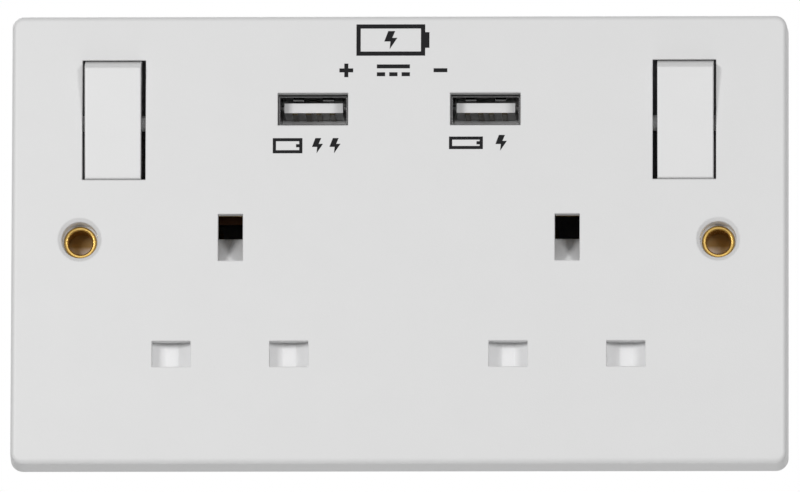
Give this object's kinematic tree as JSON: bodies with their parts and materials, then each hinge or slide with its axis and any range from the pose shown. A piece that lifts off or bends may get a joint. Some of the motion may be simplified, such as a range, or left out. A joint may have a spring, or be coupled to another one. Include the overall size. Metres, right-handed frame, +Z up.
{
  "type": "usb wall socket",
  "caption": "White moulded twin switched three-pin wall socket with USB charging ports, sprung shutters, rocker switches and brass fixing eyelets.",
  "frame": {"origin": "on the wall plane, midway between the two fixing holes", "axes": "+X to the right as seen from the room, +Y into the wall, +Z up"},
  "size_m": [0.147, 0.0304, 0.086],
  "materials": {
    "white_moulding": "satin white urea moulding",
    "rocker_moulding": "smooth white moulding",
    "shutter_moulding": "plain white moulding",
    "housing_moulding": "matt dark grey moulding",
    "plunger_nylon": "natural nylon",
    "tongue_moulding": "white moulded insulator",
    "brass": "pressed brass",
    "copper": "pressed copper alloy",
    "gilt_contact": "flash gilt spring strip",
    "plated_steel": "nickel plated sheet",
    "zinc_steel": "zinc plated steel",
    "spring_steel": "drawn spring wire",
    "board_laminate": "green solder mask on glass laminate",
    "ferrite": "ground ferrite",
    "winding_tape": "yellow polyester tape",
    "capacitor_sleeve": "dark shrink sleeve",
    "chip_resin": "moulded resin",
    "print_ink": "dark pad-printed ink"
  },
  "bodies": {
    "socket": {"capacitors": "capacitor_sleeve", "charger_board": "board_laminate", "controller_chip": "chip_resin", "earth_strap": "brass", "earth_terminal": "brass", "eyelet_left": "brass", "eyelet_right": "brass", "front_plate": "white_moulding", "housing_screws": "zinc_steel", "live_bar": "copper", "live_strip_left": "copper", "live_strip_right": "copper", "live_terminal": "brass", "neutral_bar": "brass", "neutral_terminal": "brass", "rear_housing": "housing_moulding", "rectifier": "chip_resin", "shutter_spring_left": "spring_steel", "shutter_spring_right": "spring_steel", "terminal_screws": "zinc_steel", "transformer_core": "ferrite", "transformer_winding": "winding_tape", "usb_contacts_left": "gilt_contact", "usb_contacts_right": "gilt_contact", "usb_insulator_left": "tongue_moulding", "usb_insulator_right": "tongue_moulding", "usb_shell_left": "plated_steel", "usb_shell_right": "plated_steel"},
    "rocker_left": {"rocker_left": "rocker_moulding", "plunger_spring_left": "spring_steel"},
    "plunger_left": {"plunger_left": "plunger_nylon"},
    "moving_contact_left": {"moving_contact_left": "copper"},
    "shutter_left": {"shutter_left": "shutter_moulding"},
    "rocker_right": {"rocker_right": "rocker_moulding", "plunger_spring_right": "spring_steel"},
    "plunger_right": {"plunger_right": "plunger_nylon"},
    "moving_contact_right": {"moving_contact_right": "copper"},
    "shutter_right": {"shutter_right": "shutter_moulding"}
  },
  "joints": [
    {"name": "rocker_left_turn", "type": "hinge", "parent": "socket", "child": "rocker_left", "pos_m": [-0.0541, -0.0045, 0.02285], "axis": [1, 0, 0], "range_deg": [-15, 0]},
    {"name": "moving_contact_left_turn", "type": "hinge", "parent": "socket", "child": "moving_contact_left", "pos_m": [-0.0541, 0.00798, 0.02285], "axis": [1, 0, 0], "range_deg": [0, 15]},
    {"name": "plunger_left_slide", "type": "slide", "parent": "rocker_left", "child": "plunger_left", "axis": [0, -0.9914, -0.1305], "range_m": [0, 0.0006], "stiffness_N_per_m": 500, "springref_m": -0.002},
    {"name": "shutter_left_slide", "type": "slide", "parent": "socket", "child": "shutter_left", "axis": [0, 0, -1], "range_m": [0, 0.0056], "stiffness_N_per_m": 150, "springref_m": -0.003, "deforming": ["shutter_spring_left"]},
    {"name": "rocker_right_turn", "type": "hinge", "parent": "socket", "child": "rocker_right", "pos_m": [0.0541, -0.0045, 0.02285], "axis": [1, 0, 0], "range_deg": [-15, 0]},
    {"name": "moving_contact_right_turn", "type": "hinge", "parent": "socket", "child": "moving_contact_right", "pos_m": [0.0541, 0.00798, 0.02285], "axis": [1, 0, 0], "range_deg": [0, 15]},
    {"name": "plunger_right_slide", "type": "slide", "parent": "rocker_right", "child": "plunger_right", "axis": [0, -0.9914, -0.1305], "range_m": [0, 0.0006], "stiffness_N_per_m": 500, "springref_m": -0.002},
    {"name": "shutter_right_slide", "type": "slide", "parent": "socket", "child": "shutter_right", "axis": [0, 0, -1], "range_m": [0, 0.0056], "stiffness_N_per_m": 150, "springref_m": -0.003, "deforming": ["shutter_spring_right"]}
  ],
  "couplings": [
    {"joint": "moving_contact_left_turn", "follows": "rocker_left_turn", "ratio": -1},
    {"joint": "moving_contact_right_turn", "follows": "rocker_right_turn", "ratio": -1}
  ]
}
